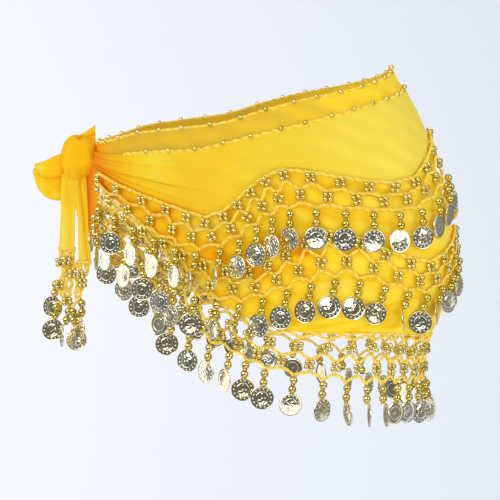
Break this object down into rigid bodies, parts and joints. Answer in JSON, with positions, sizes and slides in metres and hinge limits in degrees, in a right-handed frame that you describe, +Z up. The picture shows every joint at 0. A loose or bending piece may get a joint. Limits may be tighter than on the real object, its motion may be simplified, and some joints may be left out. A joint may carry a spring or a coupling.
{
  "type": "coin hip scarf worn on the hips",
  "caption": "Thin cloth hip scarf tied in a side knot, with crocheted bead nets and rows of hanging coins, in its worn hollow form.",
  "frame": {"origin": "on the upright axis of the hips, level with the knot", "axes": "+Z up the body, -Y the way the wearer faces, +X towards the wearer's left; the knot is at the wearer's right"},
  "size_m": [0.4015, 0.2715, 0.3127],
  "materials": {
    "cloth": "matt sheer yellow chiffon",
    "thread": "soft twisted yellow thread",
    "coin_metal": "polished pale gilt"
  },
  "bodies": {
    "root": {"inner_ply_front": "cloth", "inner_ply_back_right": "cloth", "inner_ply_back_left": "cloth", "outer_ply_front": "cloth", "outer_ply_back": "cloth", "knot": "cloth", "knot_tip": "cloth", "knot_loop": "cloth", "tail_long": "cloth", "tail_short": "cloth", "tail_under": "cloth", "net_row_1_front": "thread", "net_row_1_back": "thread", "net_row_2_front": "thread", "net_row_2_back": "thread", "net_row_3_front": "thread", "net_row_3_back": "thread", "net_tail_long": "thread", "net_tail_short": "thread", "coins_row_1_front": "coin_metal", "coins_row_1_back": "coin_metal", "coins_row_2_front": "coin_metal", "coins_row_2_back": "coin_metal", "coins_row_3_front": "coin_metal", "coins_row_3_back": "coin_metal", "coins_tail_long": "coin_metal", "coins_tail_short": "coin_metal"}
  },
  "joints": []
}
